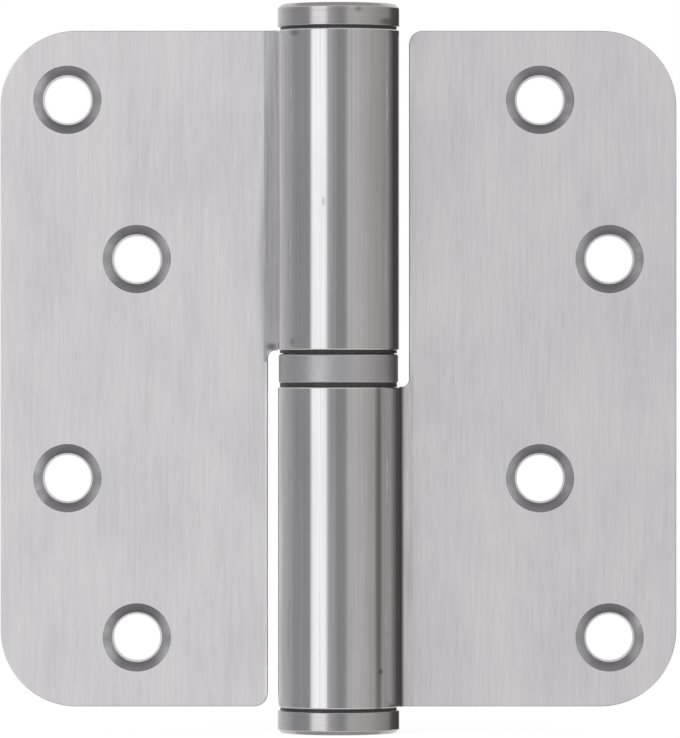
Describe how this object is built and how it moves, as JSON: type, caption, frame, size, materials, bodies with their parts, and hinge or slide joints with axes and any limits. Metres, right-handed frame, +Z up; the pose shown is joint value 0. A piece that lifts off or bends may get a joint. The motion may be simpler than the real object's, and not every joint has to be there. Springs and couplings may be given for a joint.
{
  "type": "ball bearing hinge",
  "caption": "Lift-off butt hinge with round-cornered plate leaves, staggered countersunk holes, a thrust ball bearing ring between rolled knuckles, and plug caps.",
  "frame": {"origin": "on the pin's axis at mid height, which is the centre of the open hinge's box", "axes": "+Z up along the pin, +X towards the frame leaf with the hinge open flat, +Y towards the back that lies on door and frame"},
  "size_m": [0.089, 0.016, 0.0958],
  "materials": {
    "brushed_stainless": "satin",
    "polished_stainless": "gloss",
    "satin_stainless": "matte",
    "ground_steel": "gloss",
    "bearing_ball": "polished",
    "nylon": "satin"
  },
  "bodies": {
    "frame_side": {"frame_leaf": "brushed_stainless", "hinge_pin": "ground_steel", "bottom_cap": "polished_stainless", "lower_race": "ground_steel", "bearing_shell": "satin_stainless"},
    "bearing_top": {"upper_race": "ground_steel"},
    "door_side": {"door_leaf": "brushed_stainless", "top_cap": "polished_stainless"},
    "cage": {"ball_cage": "nylon"},
    "ball_01": {"ball_01": "bearing_ball"},
    "ball_02": {"ball_02": "bearing_ball"},
    "ball_03": {"ball_03": "bearing_ball"},
    "ball_04": {"ball_04": "bearing_ball"},
    "ball_05": {"ball_05": "bearing_ball"},
    "ball_06": {"ball_06": "bearing_ball"},
    "ball_07": {"ball_07": "bearing_ball"},
    "ball_08": {"ball_08": "bearing_ball"},
    "ball_09": {"ball_09": "bearing_ball"},
    "ball_10": {"ball_10": "bearing_ball"},
    "ball_11": {"ball_11": "bearing_ball"},
    "ball_12": {"ball_12": "bearing_ball"}
  },
  "joints": [
    {"name": "swing", "type": "hinge", "parent": "frame_side", "child": "bearing_top", "pos_m": [0, 0, 0], "axis": [0, 0, 1], "range_deg": [-120, 180]},
    {"name": "lift_off", "type": "slide", "parent": "bearing_top", "child": "door_side", "axis": [0, 0, 1], "range_m": [0, 0.045]},
    {"name": "cage_turn", "type": "hinge", "parent": "frame_side", "child": "cage", "pos_m": [0, 0, 0], "axis": [0, 0, 1], "range_deg": [-61, 91]},
    {"name": "ball_01_roll", "type": "hinge", "parent": "cage", "child": "ball_01", "pos_m": [0.00619, 0, 0], "axis": [1, 0, 0], "range_deg": [-705, 470]},
    {"name": "ball_02_roll", "type": "hinge", "parent": "cage", "child": "ball_02", "pos_m": [0.00536, 0.0031, 0], "axis": [0.866, 0.5, 0], "range_deg": [-705, 470]},
    {"name": "ball_03_roll", "type": "hinge", "parent": "cage", "child": "ball_03", "pos_m": [0.0031, 0.00536, 0], "axis": [0.5, 0.866, 0], "range_deg": [-705, 470]},
    {"name": "ball_04_roll", "type": "hinge", "parent": "cage", "child": "ball_04", "pos_m": [0, 0.00619, 0], "axis": [0, 1, 0], "range_deg": [-705, 470]},
    {"name": "ball_05_roll", "type": "hinge", "parent": "cage", "child": "ball_05", "pos_m": [-0.0031, 0.00536, 0], "axis": [-0.5, 0.866, 0], "range_deg": [-705, 470]},
    {"name": "ball_06_roll", "type": "hinge", "parent": "cage", "child": "ball_06", "pos_m": [-0.00536, 0.0031, 0], "axis": [-0.866, 0.5, 0], "range_deg": [-705, 470]},
    {"name": "ball_07_roll", "type": "hinge", "parent": "cage", "child": "ball_07", "pos_m": [-0.00619, 0, 0], "axis": [-1, 0, 0], "range_deg": [-705, 470]},
    {"name": "ball_08_roll", "type": "hinge", "parent": "cage", "child": "ball_08", "pos_m": [-0.00536, -0.0031, 0], "axis": [-0.866, -0.5, 0], "range_deg": [-705, 470]},
    {"name": "ball_09_roll", "type": "hinge", "parent": "cage", "child": "ball_09", "pos_m": [-0.0031, -0.00536, 0], "axis": [-0.5, -0.866, 0], "range_deg": [-705, 470]},
    {"name": "ball_10_roll", "type": "hinge", "parent": "cage", "child": "ball_10", "pos_m": [0, -0.00619, 0], "axis": [0, -1, 0], "range_deg": [-705, 470]},
    {"name": "ball_11_roll", "type": "hinge", "parent": "cage", "child": "ball_11", "pos_m": [0.0031, -0.00536, 0], "axis": [0.5, -0.866, 0], "range_deg": [-705, 470]},
    {"name": "ball_12_roll", "type": "hinge", "parent": "cage", "child": "ball_12", "pos_m": [0.00536, -0.0031, 0], "axis": [0.866, -0.5, 0], "range_deg": [-705, 470]}
  ],
  "couplings": [
    {"joint": "cage_turn", "follows": "swing", "ratio": 0.5},
    {"joint": "ball_01_roll", "follows": "swing", "ratio": -3.9024},
    {"joint": "ball_02_roll", "follows": "swing", "ratio": -3.9024},
    {"joint": "ball_03_roll", "follows": "swing", "ratio": -3.9024},
    {"joint": "ball_04_roll", "follows": "swing", "ratio": -3.9024},
    {"joint": "ball_05_roll", "follows": "swing", "ratio": -3.9024},
    {"joint": "ball_06_roll", "follows": "swing", "ratio": -3.9024},
    {"joint": "ball_07_roll", "follows": "swing", "ratio": -3.9024},
    {"joint": "ball_08_roll", "follows": "swing", "ratio": -3.9024},
    {"joint": "ball_09_roll", "follows": "swing", "ratio": -3.9024},
    {"joint": "ball_10_roll", "follows": "swing", "ratio": -3.9024},
    {"joint": "ball_11_roll", "follows": "swing", "ratio": -3.9024},
    {"joint": "ball_12_roll", "follows": "swing", "ratio": -3.9024}
  ]
}
